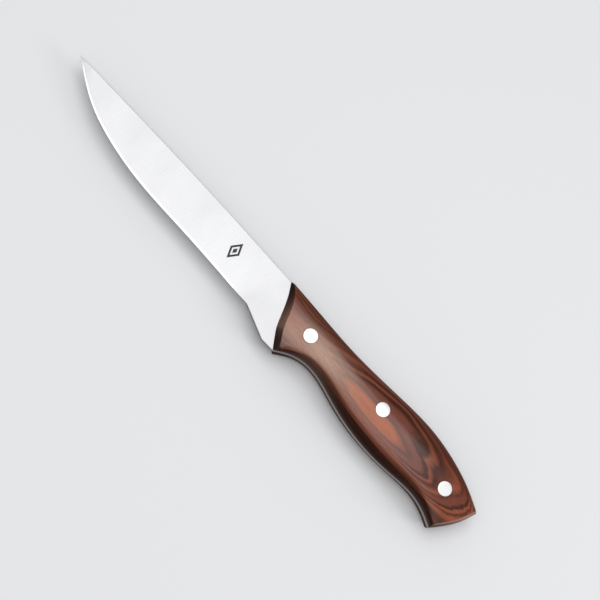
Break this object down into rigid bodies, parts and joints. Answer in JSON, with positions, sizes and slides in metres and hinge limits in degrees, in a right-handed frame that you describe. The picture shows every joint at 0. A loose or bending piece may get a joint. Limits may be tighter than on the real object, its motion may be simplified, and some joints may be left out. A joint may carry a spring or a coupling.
{
  "type": "boning knife",
  "caption": "Full-tang boning knife with a narrow upswept blade, a dropped heel and a contoured laminated wood handle held by flush rivets.",
  "frame": {"origin": "middle of the knife's bounding box, on the blade's middle plane", "axes": "the knife lies flat: +X from the blade's tip to the butt of the handle, +Y towards the spine, +Z out of the left side"},
  "size_m": [0.278, 0.0354, 0.018],
  "materials": {
    "satin_steel": "fine satin ground stainless steel",
    "laminated_wood": "reddish brown layered veneer, resin filled, semi-gloss",
    "rivet_steel": "stainless rivet heads ground flush and brushed"
  },
  "bodies": {
    "root": {"blade_and_tang": "satin_steel", "left_scale": "laminated_wood", "right_scale": "laminated_wood", "front_rivet_female": "rivet_steel", "front_rivet_male": "rivet_steel", "middle_rivet_female": "rivet_steel", "middle_rivet_male": "rivet_steel", "rear_rivet_female": "rivet_steel", "rear_rivet_male": "rivet_steel"}
  },
  "joints": []
}
